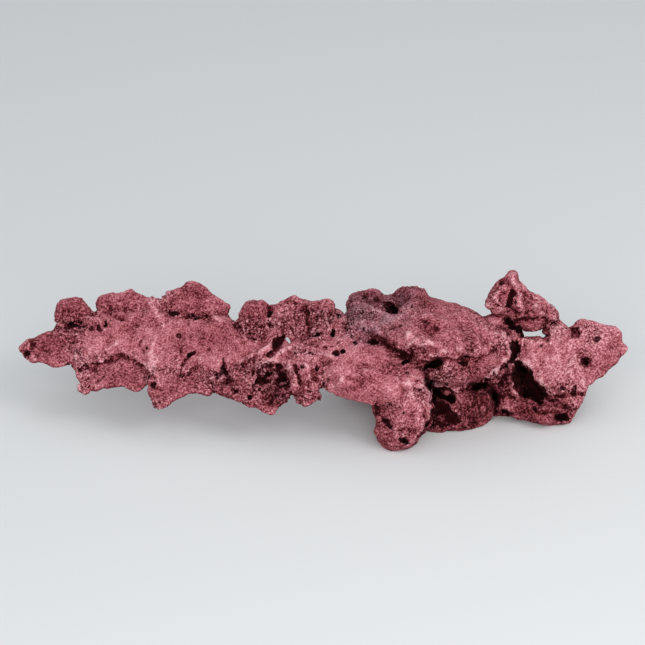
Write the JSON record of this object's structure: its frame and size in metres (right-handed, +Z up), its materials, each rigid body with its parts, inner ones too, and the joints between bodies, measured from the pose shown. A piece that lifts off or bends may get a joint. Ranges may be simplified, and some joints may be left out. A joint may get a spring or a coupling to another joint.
{
  "type": "aquarium reef rock",
  "caption": "Free-standing aquascaping rock: a long raised arm of flat reef slabs bedded in pink mortar, reaching out from a stack of porous boulders that it stands on.",
  "frame": {"origin": "on the surface the rock stands on, under the middle of its overall box", "axes": "+Z up, +X along the rock from the tip of the arm towards the stack, +Y away from the show face"},
  "size_m": [0.611, 0.1678, 0.1401],
  "materials": {
    "boulder": "matt dusty pink-red coat over porous aragonite rock",
    "mauve_boulder": "matt grey-mauve dusting over porous aragonite rock",
    "slab": "matt dark red coat over broken aragonite slabs",
    "mortar": "matt powdery pink aquarium mortar"
  },
  "bodies": {
    "root": {"main_boulder": "boulder", "dome_rock": "mauve_boulder", "foot_boulder": "boulder", "middle_rock": "boulder", "layered_rock": "boulder", "back_boulder": "boulder", "prop_rock": "boulder", "tip_slab": "slab", "round_slab": "slab", "rear_slab": "slab", "peak_slab": "slab", "rear_block": "slab", "rear_middle_slab": "slab", "front_slab": "slab", "front_point_slab": "slab", "hollow_slab": "slab", "ribbed_lobe": "slab", "spire_rock": "slab", "knuckle_rock": "slab", "wing_slab": "slab", "skirt_slab": "slab", "arm_mortar": "mortar", "neck_mortar": "mortar"}
  },
  "joints": []
}
